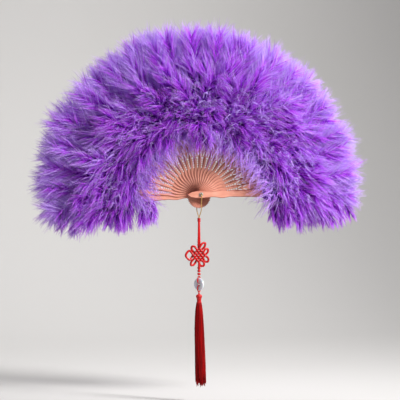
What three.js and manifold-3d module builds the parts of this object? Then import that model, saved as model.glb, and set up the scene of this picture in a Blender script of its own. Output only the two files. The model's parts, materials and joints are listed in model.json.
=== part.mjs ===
// Folding feather fan: pierced wooden sticks on a hollow rivet, a marabou plume on every stick,
// and a pendant with a woven knot, a stone ring and a tassel. Millimetres, +Z up.
// The rivet lies along Y with its middle at the origin. The fan's front looks along -Y.
import * as THREE from "three";
import { mergeVertices } from "three/addons/utils/BufferGeometryUtils.js";
import Module from "manifold-3d";

const wasm = await Module();
wasm.setup();

// Stack of sticks
const stickCount = 25; // the first and the last are the guards
const openAngle = 182.4; // degrees from the front guard to the rear one
const frontGuardAngle = 1.6; // degrees above +X
const stickThickness = 0.8;
const guardThickness = 3.2;
const layerGap = 0.3; // between neighbouring sticks
const fitGap = 0.3; // between pieces that pass or seat on each other

// Outline of a stick, measured from the rivet's axis
const tailLength = 21;
const headWidth = 11;
const neckAt = 19;
const neckWidth = 8.6;
const bellyAt = 32;
const bellyWidth = 11.8;
const waistAt = 44;
const waistWidth = 9;
const shoulderAt = 90;
const shoulderWidth = 12;
const shoulderFall = 12; // length of the curve from the shoulder to the rib
const ribWidth = 5;
const stickReach = 189;
const guardChamfer = 0.7;
const bareMargin = 4; // a guard's bare face ends this far short of its plume

// Openwork of a stick
const beadHoles = 4;
const beadHoleWidth = 2.2;
const roundHoleWidth = 3;
const slitPairs = 2;
const slitWidth = 1.5;
const slitRise = 5; // how far a slit climbs along the stick from its middle to its edge
const webWidth = 1.1; // wood left between openings

// Rivet
const eyeletWidth = 4;
const eyeletBore = 2.4;
const flangeWidth = 6.5;
const flangeThickness = 0.9;
const washerThickness = 0.6;
const lipWidth = 5.2;
const lipThickness = 0.5;

// Plumes
const plumeInner = 74;
const plumeOuter = 252;
const plumeThickness = 50;
const frontDroop = 44; // how far the end plumes hang past their guards
const rearDroop = 26;
const borderLoft = 0.8; // share of the thickness left at the border of a plume's sector
const droopLoft = 0.4; // and where an end plume hangs lowest
// Three tiers of feathers overlap: a short raised one, a long full one, and a flat one that makes the rim.
// Shares of a plume's length, of its sector, of the droop and of its thickness
const plumeProfile = [
  { along: 0, across: 0.5, droop: 0.2, loft: 0.5 },
  { along: 0.07, across: 0.95, droop: 0.55, loft: 0.86 },
  { along: 0.22, across: 1, droop: 0.95, loft: 1 },
  { along: 0.33, across: 1, droop: 1, loft: 0.8 },
  { along: 0.51, across: 1, droop: 1, loft: 0.92 },
  { along: 0.63, across: 1, droop: 1, loft: 0.82 },
  { along: 0.74, across: 1, droop: 0.95, loft: 0.52 },
  { along: 0.9, across: 0.95, droop: 0.6, loft: 0.38 },
  { along: 1, across: 0.6, droop: 0.2, loft: 0.12 },
];

// Ribbon that joins the sticks inside the plumes
const ribbonAt = 150;
const ribbonWidth = 6;
const ribbonThickness = 0.3;

// Pendant
const loopCord = 1.5;
const knotCord = 1.7;
const stemCord = 2.5;
const wrapAt = 38; // below the rivet, as the other heights of the pendant
const wrapWidth = 5;
const stemEnd = 75;
const knotAt = 91;
const knotPitch = 4.2; // between neighbouring strands of the weave
const knotStrands = 4; // each way
const knotLift = 1.7; // how far a strand rises over or dips under another
const knotDrop = 1.2; // the knot is this much taller than wide, from the pull of the tassel
const cornerEar = 8; // the loop at the left corner
const downEars = [9, 9, 8]; // the loops at the ends of the strands, on the way down and on the way back
const backEars = [11, 11, 8.5];
const buttonAt = 114.5;
const buttonWidth = 5.2;
const buttonCount = 2;
const ringCord = 1.2;
const ringAt = 134.5;
const ringWidth = 19.2;
const ringBore = 5.2;
const ringThickness = 4;
const ringTurn = 53; // degrees about Z
const tasselAt = 148.2;
const topBeadWidth = 2.6;
const knobWidth = 9.4;
const knobHeight = 6;
const tasselNeckWidth = 6.8;
const tasselNeckHeight = 7;
const skirtLength = 118;
const skirtTopWidth = 8.4;
const skirtWidth = 15;
const skirtFolds = 9;
const skirtFoldDepth = 0.9;

// Worked out from the sizes above
const degree = Math.PI / 180;
const lastStick = stickCount - 1;
const pitchAngle = (openAngle / lastStick) * degree;
const layerPitch = stickThickness + layerGap;
const innerStack = (stickCount - 2) * layerPitch - layerGap;
const stackHalf = innerStack / 2 + layerGap + guardThickness;
const pivotHole = eyeletWidth + 2 * fitGap;
const wideningRate = (shoulderWidth - waistWidth) / (shoulderAt - waistAt); // of a stick from waist to shoulder

function finish(color, roughness, metalness = 0) {
  return new THREE.MeshStandardMaterial({ color, roughness, metalness });
}

const wood = finish(0xe8957f, 0.55);
const steel = finish(0x9a9a9c, 0.3, 1);
const marabou = finish(0x8a3fd0, 0.95);
const violetSatin = finish(0x5a2a98, 0.6);
const goldThread = finish(0xc9b26a, 0.45);
const redCord = finish(0xd81c1c, 0.5);
const redSilk = finish(0xa00a10, 0.45);
const jade = finish(0xd9dcea, 0.2);

const fan = new THREE.Group();

function addMesh(parent, name, geometry, material) {
  const mesh = new THREE.Mesh(geometry, material);
  mesh.name = name;
  parent.add(mesh);
  return mesh;
}

function toSolid(geometry) {
  const bare = geometry.clone();
  bare.deleteAttribute("normal");
  bare.deleteAttribute("uv");
  const merged = mergeVertices(bare, 1e-4);
  return new wasm.Manifold(new wasm.Mesh({
    numProp: 3,
    vertProperties: new Float32Array(merged.attributes.position.array),
    triVerts: new Uint32Array(merged.index.array),
  }));
}

function toGeometry(solid) {
  const mesh = solid.getMesh();
  const geometry = new THREE.BufferGeometry();
  geometry.setAttribute("position", new THREE.BufferAttribute(mesh.vertProperties, 3));
  geometry.setIndex(new THREE.BufferAttribute(mesh.triVerts, 1));
  return geometry;
}

// A closed skin through rings of points, with flat ends, facing out.
function loft(rings) {
  const count = rings[0].length;
  const points = rings.flat();
  const faces = [];
  for (let ring = 0; ring < rings.length - 1; ring += 1) {
    for (let side = 0; side < count; side += 1) {
      const a = ring * count + side;
      const b = ring * count + ((side + 1) % count);
      faces.push(a, b, b + count, a, b + count, a + count);
    }
  }
  const last = (rings.length - 1) * count;
  for (let side = 1; side < count - 1; side += 1) {
    faces.push(0, side + 1, side, last, last + side, last + side + 1);
  }
  const volume = faces.reduce((sum, vertex, at) => {
    if (at % 3) return sum;
    const [a, b, c] = [vertex, faces[at + 1], faces[at + 2]].map((index) => points[index]);
    return sum + a.dot(b.clone().cross(c));
  }, 0);
  const geometry = new THREE.BufferGeometry().setFromPoints(points);
  geometry.setIndex(volume > 0 ? faces : faces.reverse());
  return geometry;
}

function roundPoints(at, width, sides) {
  const points = [];
  for (let side = 0; side < sides; side += 1) {
    const turn = ((side + 0.5) / sides) * 2 * Math.PI;
    points.push(new THREE.Vector2(at + (width / 2) * Math.cos(turn), (width / 2) * Math.sin(turn)));
  }
  return points;
}

// A round cord along a smooth curve through the points.
function cord(points, width, sides, steps) {
  const section = new THREE.Shape(roundPoints(0, width, sides));
  const extrudePath = new THREE.CatmullRomCurve3(points, false, "centripetal");
  return new THREE.ExtrudeGeometry(section, { steps, extrudePath, bevelEnabled: false });
}

function lathe(profile, segments) {
  return new THREE.LatheGeometry(profile.map(([r, y]) => new THREE.Vector2(r, y)), segments);
}

function ball(width, height) {
  return new THREE.SphereGeometry(width / 2, 10, 6).translate(0, 0, height);
}

// Sticks

// One edge of a stick's wide part: a wave from the tail's point to the waist, then straight to the shoulder.
const stickEdge = new THREE.SplineCurve([
  new THREE.Vector2(-tailLength, 0),
  new THREE.Vector2(-tailLength * 0.72, headWidth * 0.33),
  new THREE.Vector2(-tailLength * 0.3, headWidth * 0.49),
  new THREE.Vector2(tailLength * 0.15, headWidth * 0.48),
  new THREE.Vector2(neckAt, neckWidth / 2),
  new THREE.Vector2(bellyAt, bellyWidth / 2),
  new THREE.Vector2(waistAt, waistWidth / 2),
]).getPoints(10);
stickEdge.push(new THREE.Vector2(shoulderAt, shoulderWidth / 2));

// Both edges of an outline, anticlockwise from the tail's point.
function mirrored(edge) {
  const lower = edge.map((point) => new THREE.Vector2(point.x, -point.y));
  const upper = edge.filter((point) => point.y > 0).reverse();
  return [...lower, ...upper];
}

// Bead holes, a round hole, then slits that climb from the middle like the barbs of a leaf.
function openwork() {
  const holes = [];
  let at = waistAt - beadHoleWidth;
  for (let bead = 0; bead < beadHoles; bead += 1) {
    holes.push(new THREE.Path(roundPoints(at, beadHoleWidth, 4)));
    at += beadHoleWidth + webWidth;
  }
  at += (roundHoleWidth - beadHoleWidth) / 2;
  holes.push(new THREE.Path(roundPoints(at, roundHoleWidth, 6)));
  at += roundHoleWidth / 2 + webWidth;
  for (let pair = 0; pair < slitPairs; pair += 1) {
    const slitOuter = (waistWidth + wideningRate * (at - waistAt)) / 2 - webWidth;
    for (const side of [1, -1]) {
      holes.push(new THREE.Path([
        new THREE.Vector2(at, side * webWidth * 0.55),
        new THREE.Vector2(at + slitWidth, side * webWidth * 0.4),
        new THREE.Vector2(at + slitWidth + slitRise, side * slitOuter),
        new THREE.Vector2(at + slitRise, side * slitOuter),
      ]));
    }
    at += slitWidth + slitRise + webWidth;
  }
  return holes;
}

// An outline drawn along X and across Z, given its thickness about Y.
function plate(shape, thickness) {
  return new THREE.ExtrudeGeometry(shape, { depth: thickness, bevelEnabled: false })
    .translate(0, 0, -thickness / 2)
    .rotateX(Math.PI / 2);
}

function stickGeometry() {
  const ribEdge = [
    new THREE.Vector2(shoulderAt + shoulderFall * 0.6, (shoulderWidth + 3 * ribWidth) / 8),
    new THREE.Vector2(shoulderAt + shoulderFall, ribWidth / 2),
    new THREE.Vector2(stickReach - ribWidth / 2, ribWidth / 2),
    new THREE.Vector2(stickReach, 0),
  ];
  const shape = new THREE.Shape(mirrored([...stickEdge, ...ribEdge]));
  shape.holes.push(new THREE.Path(roundPoints(0, pivotHole, 8)), ...openwork());
  return plate(shape, stickThickness);
}

function guardGeometry() {
  const wide = stickEdge.slice(0, -1);
  const bareEnd = plumeInner - bareMargin;
  const bare = new THREE.Vector2(bareEnd, waistWidth / 2 + (wideningRate / 2) * (bareEnd - waistAt));
  const shoulder = stickEdge.at(-1);
  const tip = new THREE.Vector2(stickReach, shoulderWidth / 2);
  const rings = [...wide, bare, shoulder, tip].map((point) => {
    const half = Math.max(point.y, guardChamfer);
    const flat = half - guardChamfer * 0.8;
    const face = guardThickness / 2;
    const edge = face - guardChamfer;
    return [
      [half, -edge], [flat, -face], [-flat, -face], [-half, -edge],
      [-half, edge], [-flat, face], [flat, face], [half, edge],
    ].map(([across, depth]) => new THREE.Vector3(point.x, depth, across));
  });
  const drill = new THREE.CylinderGeometry(pivotHole / 2, pivotHole / 2, 2 * guardThickness, 16);
  return toGeometry(toSolid(loft(rings)).subtract(toSolid(drill)));
}

// Plumes

// How far a plume may spread to each side: half its sector, clear of the next stick's shoulder.
function sectorHalf(reach) {
  const border = reach * Math.tan(pitchAngle / 2) - fitGap / 2;
  const nextStick = reach * Math.sin(pitchAngle) - shoulderWidth / 2 - fitGap;
  return Math.min(border, nextStick);
}

function plumeRing(station, droopDown, droopUp) {
  const reach = plumeInner + station.along * (plumeOuter - plumeInner);
  const half = sectorHalf(reach) * station.across;
  const thick = (plumeThickness / 2) * station.loft;
  const full = half * 0.45;
  const low = half + droopDown * station.droop;
  const high = half + droopUp * station.droop;
  const lowLoft = droopDown ? droopLoft : borderLoft;
  const highLoft = droopUp ? droopLoft : borderLoft;
  return [
    [high, -highLoft], [full, -1], [-full, -1], [-low, -lowLoft],
    [-low, lowLoft], [-full, 1], [full, 1], [high, highLoft],
  ].map(([across, depth]) => new THREE.Vector3(reach, depth * thick, across));
}

// A tuft that straddles its stick: slotFront and slotRear clear the stick and the ribbon.
function plumeGeometry(slotFront, slotRear, droopDown, droopUp) {
  const tuft = loft(plumeProfile.map((station) => plumeRing(station, droopDown, droopUp)));
  const slotLength = stickReach + fitGap;
  const slotBreadth = 2 * plumeOuter;
  const slot = new THREE.BoxGeometry(slotLength, slotFront + slotRear, slotBreadth)
    .translate(slotLength / 2, (slotRear - slotFront) / 2, 0);
  return toGeometry(toSolid(tuft).subtract(toSolid(slot)));
}

// The ribbon lies just in front of each inner stick and on the inner faces of the guards.
const ribbonSeat = fitGap + ribbonThickness / 2;
const stickSlotRear = stickThickness / 2 + fitGap;
const stickSlotFront = stickThickness / 2 + ribbonSeat + layerPitch / 2 + ribbonThickness / 2 + fitGap;
const guardSlotOuter = guardThickness / 2 + fitGap;
const guardSlotInner = guardThickness / 2 + layerGap + stickThickness + 2 * fitGap;

function layerOf(stick) {
  if (stick === 0) return guardThickness / 2 - stackHalf;
  if (stick === lastStick) return stackHalf - guardThickness / 2;
  return (stick - stickCount / 2 + 0.5) * layerPitch;
}

function addStick(stick) {
  const place = new THREE.Group();
  place.position.y = layerOf(stick);
  place.rotation.y = -(frontGuardAngle * degree + stick * pitchAngle);
  fan.add(place);
  if (stick === 0) {
    addMesh(place, "front_guard", guardGeometry(), wood);
    addMesh(place, "plume_front", plumeGeometry(guardSlotOuter, guardSlotInner, frontDroop, 0), marabou);
  } else if (stick === lastStick) {
    addMesh(place, "rear_guard", guardGeometry(), wood);
    addMesh(place, "plume_rear", plumeGeometry(guardSlotInner, guardSlotOuter, 0, rearDroop), marabou);
  } else {
    const number = String(stick).padStart(2, "0");
    addMesh(place, `stick_${number}`, stickGeometry(), wood);
    addMesh(place, `plume_${number}`, plumeGeometry(stickSlotFront, stickSlotRear, 0, 0), marabou);
  }
}

for (let stick = 0; stick < stickCount; stick += 1) addStick(stick);

function ribbonGeometry() {
  const rings = [];
  for (let stick = 0; stick < stickCount; stick += 1) {
    const guard = stick === 0 || stick === lastStick;
    const inward = stick === 0 ? 1 : -1;
    const seatThickness = guard ? guardThickness : stickThickness;
    const depth = layerOf(stick) + inward * (seatThickness / 2 + ribbonSeat);
    const flatHalf = ((guard ? shoulderWidth : ribWidth) / 2 + fitGap) / ribbonAt;
    for (const side of [-1, 1]) {
      const turn = frontGuardAngle * degree + stick * pitchAngle + side * flatHalf;
      rings.push([[-1, -1], [1, -1], [1, 1], [-1, 1]].map(([along, through]) => {
        const reach = ribbonAt + (along * ribbonWidth) / 2;
        const y = depth + (through * ribbonThickness) / 2;
        return new THREE.Vector3(reach * Math.cos(turn), y, reach * Math.sin(turn));
      }));
    }
  }
  return loft(rings);
}

addMesh(fan, "link_ribbon", ribbonGeometry(), violetSatin);

// Rivet

const flangeSeat = stackHalf + fitGap;
const lipSeat = flangeSeat + washerThickness + fitGap;

function eyeletGeometry() {
  const bore = eyeletBore / 2;
  const barrel = eyeletWidth / 2;
  return lathe([
    [bore, -flangeSeat - flangeThickness],
    [flangeWidth / 2, -flangeSeat - flangeThickness],
    [flangeWidth / 2, -flangeSeat],
    [barrel, -flangeSeat],
    [barrel, lipSeat],
    [lipWidth / 2, lipSeat],
    [lipWidth / 2, lipSeat + lipThickness],
    [bore, lipSeat + lipThickness],
    [bore, -flangeSeat - flangeThickness],
  ], 14);
}

function washerGeometry() {
  const hole = eyeletWidth / 2 + fitGap;
  return lathe([
    [hole, flangeSeat],
    [flangeWidth / 2, flangeSeat],
    [flangeWidth / 2, flangeSeat + washerThickness],
    [hole, flangeSeat + washerThickness],
    [hole, flangeSeat],
  ], 14);
}

addMesh(fan, "pivot_eyelet", eyeletGeometry(), steel);
addMesh(fan, "pivot_washer", washerGeometry(), steel);

// Pendant

// Half of the loop's route as depth and height: through the bore, over the rivet's end, straight down
// past the sweep of the tails, then in to the wrap knot.
const loopHalf = [
  [8, -0.35], [14, -0.35], [17.8, -0.35], [19.5, -1], [20.1, -2.7], [19.8, -5], [18.7, -8.5],
  [17.7, -13], [17.3, -18], [16.8, -22.2], [14.4, -25.4], [10.8, -28.2], [6.8, -30.6], [3.2, -32.6],
  [1.3, -33.9], [0.9, -35.1],
];

function loopGeometry() {
  const rear = loopHalf.map(([depth, height]) => new THREE.Vector3(0, depth, height));
  const front = loopHalf.map(([depth, height]) => new THREE.Vector3(0, -depth, height));
  const crown = new THREE.Vector3(0, 0, loopHalf[0][1]);
  return cord([...front.reverse(), crown, ...rear], loopCord, 8, 44);
}

addMesh(fan, "gold_loop", loopGeometry(), goldThread);

// The woven knot is one cord. It snakes down the grid one way, rounds an ear at the left corner and snakes
// back across itself, over and under in turn. Along and across run down the diamond's two sides.
function knotRoute() {
  const half = ((knotStrands - 1) * knotPitch) / 2;
  const line = (index) => index * knotPitch - half;
  const lift = (along, across) => ((along + across) % 2 ? -knotLift : knotLift);
  const point = (along, across, height) => new THREE.Vector3(
    (along - across) / Math.SQRT2,
    height,
    -knotAt - (knotDrop * (along + across)) / Math.SQRT2,
  );
  const down = [];
  const back = [];
  for (let strand = 0; strand < knotStrands; strand += 1) {
    const forward = strand % 2 === 0;
    const steps = [...Array(knotStrands).keys()];
    for (const step of forward ? steps : steps.toReversed()) {
      const opposite = knotStrands - 1 - step;
      down.push(point(line(step), line(strand), lift(step, strand)));
      back.push(point(line(strand), line(opposite), -lift(strand, opposite)));
    }
    if (strand === knotStrands - 1) continue;
    const end = forward ? knotStrands - 1 : 0;
    const way = forward ? 1 : -1;
    const middle = line(strand) + knotPitch / 2;
    for (const side of [-1, 0, 1]) {
      const share = side ? 0.7 : 1;
      const beside = middle + side * knotPitch * 0.66;
      const sink = side * -0.6;
      const downOut = way * (half + downEars[strand] * share);
      const backOut = way * (half + backEars[strand] * share);
      down.push(point(downOut, beside, sink * lift(end, strand)));
      back.push(point(beside, -backOut, -sink * lift(strand, knotStrands - 1 - end)));
    }
  }
  const cornerOut = half + cornerEar;
  const corner = [
    point(-cornerOut, half, 0.4 * knotLift),
    point(-cornerOut, cornerOut, 0),
    point(-half, cornerOut, -0.4 * knotLift),
  ];
  const top = new THREE.Vector3(0, 0, -stemEnd);
  const bottom = new THREE.Vector3(0, 0, -buttonAt);
  return [top, ...down, ...corner, ...back, bottom];
}

// The least gap of the woven cord to itself, between points further apart along it than a crossing.
function leastGap(points, width) {
  const spots = new THREE.CatmullRomCurve3(points, false, "centripetal").getSpacedPoints(600);
  const step = spots[0].distanceTo(spots[1]);
  const apart = Math.ceil((2 * width) / step);
  let least = Infinity;
  for (let a = 0; a < spots.length; a += 1) {
    for (let b = a + apart; b < spots.length; b += 1) {
      least = Math.min(least, spots[a].distanceTo(spots[b]));
    }
  }
  return least - width;
}

function redCordGeometry() {
  const stemSpread = stemCord * 0.46;
  const pieces = [ball(wrapWidth, -wrapAt)];
  for (const side of [-1, 1]) {
    pieces.push(cord([
      new THREE.Vector3(side * stemSpread, 0, -wrapAt),
      new THREE.Vector3(side * stemSpread, 0, -(wrapAt + stemEnd) / 2),
      new THREE.Vector3(side * stemSpread, 0, -stemEnd),
    ], stemCord, 8, 2));
  }
  const route = knotRoute();
  console.log(`woven knot's least gap to itself: ${leastGap(route, knotCord).toFixed(2)} mm`);
  pieces.push(cord(route, knotCord, 6, 100));
  for (let button = 0; button < buttonCount; button += 1) {
    pieces.push(ball(buttonWidth, -buttonAt - button * buttonWidth * 0.9));
  }
  return toGeometry(pieces.map(toSolid).reduce((joined, piece) => joined.add(piece)));
}

addMesh(fan, "red_knot_cord", redCordGeometry(), redCord);

const pendantEnd = buttonAt + (buttonCount - 1) * buttonWidth * 0.9 + buttonWidth / 2;
const ringGroup = new THREE.Group();
ringGroup.position.z = -ringAt;
ringGroup.rotation.z = -ringTurn * degree;
fan.add(ringGroup);

// The ring's section is an ellipse between its bore and its rim.
const ringMiddle = (ringWidth + ringBore) / 4;
const ringWall = (ringWidth - ringBore) / 4;

function ringGeometry() {
  const profile = [];
  const sides = 10;
  for (let side = 0; side <= sides; side += 1) {
    const turn = ((side % sides) / sides) * 2 * Math.PI;
    profile.push([ringMiddle + ringWall * Math.cos(turn), (ringThickness / 2) * Math.sin(turn)]);
  }
  return lathe(profile, 16);
}

// A cord that rounds the ring's wall through the bore, with both ends brought together at endHeight.
function ringCordGeometry(endHeight) {
  const up = Math.sign(endHeight);
  const clear = ringCord / 2 + 1.5 * fitGap;
  const points = [];
  const bends = 8;
  for (let bend = 0; bend <= bends; bend += 1) {
    const turn = (bend / bends - 0.5) * 280 * degree;
    points.push(new THREE.Vector3(
      0,
      (ringThickness / 2 + clear) * Math.sin(turn),
      up * (ringMiddle - (ringWall + clear) * Math.cos(turn)),
    ));
  }
  const endDepth = ringCord / 2 + fitGap / 2;
  const leads = [-1, 1].map((side) => [
    new THREE.Vector3(0, side * endDepth, endHeight),
    new THREE.Vector3(0, side * endDepth * 1.3, endHeight - up * 1.2),
  ]);
  return cord([...leads[0], ...points, ...leads[1].reverse()], ringCord, 8, 20);
}

addMesh(ringGroup, "jade_ring", ringGeometry(), jade);
const upperEnd = ringAt - pendantEnd - fitGap;
const lowerEnd = ringAt - tasselAt + topBeadWidth / 2 + fitGap;
addMesh(ringGroup, "ring_cord_upper", ringCordGeometry(upperEnd), redCord);
addMesh(ringGroup, "ring_cord_lower", ringCordGeometry(lowerEnd), redCord);

// The tassel hangs on its top bead, so heights run down from that bead's middle.
const knobTop = topBeadWidth / 2;
const neckTop = knobTop + knobHeight;
const skirtTop = neckTop + tasselNeckHeight;

function tasselHeadGeometry() {
  const bead = topBeadWidth / 2;
  const knob = knobWidth / 2;
  const neck = tasselNeckWidth / 2;
  return lathe([
    [0, -skirtTop],
    [neck, -skirtTop],
    [neck * 0.94, -(neckTop + skirtTop) / 2],
    [neck, -neckTop],
    [knob * 0.9, -neckTop + knobHeight * 0.2],
    [knob, -neckTop + knobHeight * 0.5],
    [knob * 0.82, -knobTop - knobHeight * 0.16],
    [bead * 0.8, -bead * 0.6],
    [bead, 0],
    [bead * 0.7, bead * 0.7],
    [0, bead],
  ], 12).rotateX(Math.PI / 2);
}

// Folds run down the hanging threads, deeper towards the hem.
function skirtGeometry() {
  const rings = [[0, 0], [0.12, 0.45], [0.35, 0.85], [0.75, 1], [1, 0.94]].map(([down, spread]) => {
    const points = [];
    for (let side = 0; side < 2 * skirtFolds; side += 1) {
      const turn = (side / (2 * skirtFolds)) * 2 * Math.PI;
      const fold = side % 2 ? 0 : skirtFoldDepth * spread;
      const radius = (skirtTopWidth + (skirtWidth - skirtTopWidth) * spread) / 2 - fold;
      const height = -skirtTop - fitGap - down * skirtLength;
      points.push(new THREE.Vector3(radius * Math.cos(turn), radius * Math.sin(turn), height));
    }
    return points;
  });
  return loft(rings);
}

const tassel = new THREE.Group();
tassel.position.z = -tasselAt;
fan.add(tassel);
addMesh(tassel, "tassel_head", tasselHeadGeometry(), redCord);
addMesh(tassel, "tassel_skirt", skirtGeometry(), redSilk);

export default fan;
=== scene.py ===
import json
import math
import bpy
import numpy as np
from mathutils import Matrix, Vector

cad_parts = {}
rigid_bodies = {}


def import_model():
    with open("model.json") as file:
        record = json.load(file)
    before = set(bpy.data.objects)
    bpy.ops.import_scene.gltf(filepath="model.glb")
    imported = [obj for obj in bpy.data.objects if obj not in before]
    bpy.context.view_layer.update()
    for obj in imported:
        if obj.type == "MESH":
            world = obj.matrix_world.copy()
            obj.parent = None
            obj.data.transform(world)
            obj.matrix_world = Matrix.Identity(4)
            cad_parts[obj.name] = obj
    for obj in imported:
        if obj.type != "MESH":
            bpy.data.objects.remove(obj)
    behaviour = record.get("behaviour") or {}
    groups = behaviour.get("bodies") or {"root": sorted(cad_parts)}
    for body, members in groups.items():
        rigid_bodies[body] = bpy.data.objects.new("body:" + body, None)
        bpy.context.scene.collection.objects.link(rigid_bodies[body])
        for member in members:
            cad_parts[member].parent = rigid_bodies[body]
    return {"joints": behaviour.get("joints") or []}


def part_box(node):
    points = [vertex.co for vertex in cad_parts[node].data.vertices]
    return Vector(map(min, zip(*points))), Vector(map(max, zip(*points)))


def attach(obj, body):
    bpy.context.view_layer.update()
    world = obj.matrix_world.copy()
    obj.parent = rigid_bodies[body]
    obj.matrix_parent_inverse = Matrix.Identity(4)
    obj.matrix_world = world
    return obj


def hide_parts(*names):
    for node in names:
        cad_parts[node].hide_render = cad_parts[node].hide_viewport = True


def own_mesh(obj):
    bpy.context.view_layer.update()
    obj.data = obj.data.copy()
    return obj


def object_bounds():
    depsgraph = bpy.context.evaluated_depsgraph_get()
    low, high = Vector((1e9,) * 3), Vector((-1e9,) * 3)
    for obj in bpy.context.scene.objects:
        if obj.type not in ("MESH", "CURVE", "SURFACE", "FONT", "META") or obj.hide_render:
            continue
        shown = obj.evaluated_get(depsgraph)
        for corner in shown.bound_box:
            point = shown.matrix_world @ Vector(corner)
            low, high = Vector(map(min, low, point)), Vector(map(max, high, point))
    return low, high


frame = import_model()
cadLow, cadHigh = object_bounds()
mm = 0.001
scene = bpy.context.scene
scene.view_settings.view_transform = "Standard"

# Camera at the photograph's angle: level, a little to the fan's left, with a long lens
shot = {
    "yaw": -11.5,
    "distance": 2.6,
    "picture": 400,
    "mmPerPixel": 1.5,
    "pivotPixel": (199, 194.6),
    "sensor": 36,
}


def setCamera():
    yaw = math.radians(shot["yaw"])
    back = Vector((math.sin(yaw), -math.cos(yaw), 0))
    right = Vector((math.cos(yaw), math.sin(yaw), 0))
    middle = shot["picture"] / 2
    pixel = shot["mmPerPixel"] * mm
    target = right * (middle - shot["pivotPixel"][0]) * pixel
    target.z = (shot["pivotPixel"][1] - middle) * pixel
    data = bpy.data.cameras.new("camera")
    data.sensor_width = shot["sensor"]
    data.lens = shot["sensor"] * shot["distance"] / (shot["picture"] * pixel)
    camera = bpy.data.objects.new("camera", data)
    camera.location = target + back * shot["distance"]
    camera.rotation_euler = (-back).to_track_quat("-Z", "Y").to_euler()
    scene.collection.objects.link(camera)
    scene.camera = camera


setCamera()


# Colours and nodes

def linear(colour):
    channels = [int(colour[at:at + 2], 16) / 255 for at in (1, 3, 5)]
    return [c / 12.92 if c <= 0.04045 else ((c + 0.055) / 1.055) ** 2.4 for c in channels] + [1.0]


# settings are the node's own properties or its sockets' values, links feed its sockets from other sockets or
# from nodes, by their first output
def addNode(tree, kind, settings=None, links=None):
    node = tree.nodes.new("ShaderNode" + kind)
    for name, value in (settings or {}).items():
        if isinstance(name, str) and hasattr(node, name):
            setattr(node, name, value)
        else:
            node.inputs[name].default_value = value
    for name, source in (links or {}).items():
        socket = source.outputs[0] if isinstance(source, bpy.types.Node) else source
        tree.links.new(socket, node.inputs[name])
    return node


def newMaterial(name):
    material = bpy.data.materials.new(name)
    material.use_nodes = True
    material.node_tree.nodes.clear()
    return material, material.node_tree


def rampColours(ramp, stops):
    elements = ramp.color_ramp.elements
    while len(elements) < len(stops):
        elements.new(1.0)
    for element, (spot, colour) in zip(elements, stops):
        element.position = spot
        element.color = linear(colour)
    return ramp.outputs["Color"]


# Meshes: a shape is its points and a list of arrays of faces

def unit(vectors):
    return vectors / np.maximum(np.linalg.norm(vectors, axis=-1, keepdims=True), 1e-12)


def joined(shapes):
    points, faces, start = [], [], 0
    for shapePoints, groups in shapes:
        points.append(shapePoints)
        faces += [np.asarray(group) + start for group in groups]
        start += len(shapePoints)
    return np.concatenate(points), faces


def moved(shape, matrix):
    points, faces = shape
    turn = np.array(matrix)
    return points @ turn[:3, :3].T + turn[:3, 3], faces


def newMesh(name, shape):
    points, groups = shape
    sizes = np.concatenate([np.full(len(group), group.shape[1]) for group in groups])
    corners = np.concatenate([group.ravel() for group in groups])
    starts = np.concatenate([[0], np.cumsum(sizes)[:-1]])
    mesh = bpy.data.meshes.new(name)
    mesh.vertices.add(len(points))
    mesh.vertices.foreach_set("co", np.asarray(points, np.float32).ravel())
    mesh.loops.add(len(corners))
    mesh.loops.foreach_set("vertex_index", corners.astype(np.int32))
    mesh.polygons.add(len(sizes))
    mesh.polygons.foreach_set("loop_start", starts.astype(np.int32))
    mesh.polygons.foreach_set("use_smooth", np.ones(len(sizes), bool))
    mesh.update(calc_edges=True)
    return mesh


def addPiece(name, mesh, material, body, slot, replaced=(), place=None):
    if not mesh.materials:
        mesh.materials.append(material)
    piece = bpy.data.objects.new(name, mesh)
    if place is not None:
        piece.matrix_world = place
    scene.collection.objects.link(piece)
    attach(piece, body)
    if replaced:
        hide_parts(*replaced)
    return piece


def addShape(name, shape, *ways):
    return addPiece(name, newMesh(name, shape), *ways)


def fullTurn(steps):
    return np.arange(steps) / steps * 2 * math.pi


# A smooth curve through points: power 0.5 is centripetal, 0 uniform
def smoothPath(points, perSpan, power=0.5):
    points = np.asarray(points, float)
    ends = [2 * points[0] - points[1], *points, 2 * points[-1] - points[-2]]
    path = []
    for a, b, c, d in zip(ends, ends[1:], ends[2:], ends[3:]):
        t1 = np.linalg.norm(b - a) ** power
        t2 = t1 + np.linalg.norm(c - b) ** power
        t3 = t2 + np.linalg.norm(d - c) ** power
        for t in np.linspace(t1, t2, perSpan, endpoint=False):
            ab = a + (b - a) * t / t1
            bc = b + (c - b) * (t - t1) / (t2 - t1)
            cd = c + (d - c) * (t - t2) / (t3 - t2)
            abc = ab + (bc - ab) * t / t2
            bcd = bc + (cd - bc) * (t - t1) / (t3 - t1)
            path.append(abc + (bcd - abc) * (t - t1) / (t2 - t1))
    path.append(points[-1])
    return np.array(path)


# Quads between rings of points, from each ring to the next
def ringQuads(rings, sides, closed=False):
    ring, side = np.meshgrid(np.arange(rings if closed else rings - 1), np.arange(sides), indexing="ij")
    ring, side = ring.ravel(), side.ravel()
    here, ahead = ring * sides, (ring + 1) % rings * sides
    beside = (side + 1) % sides
    return np.stack([here + side, here + beside, ahead + beside, ahead + side], 1)


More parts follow.
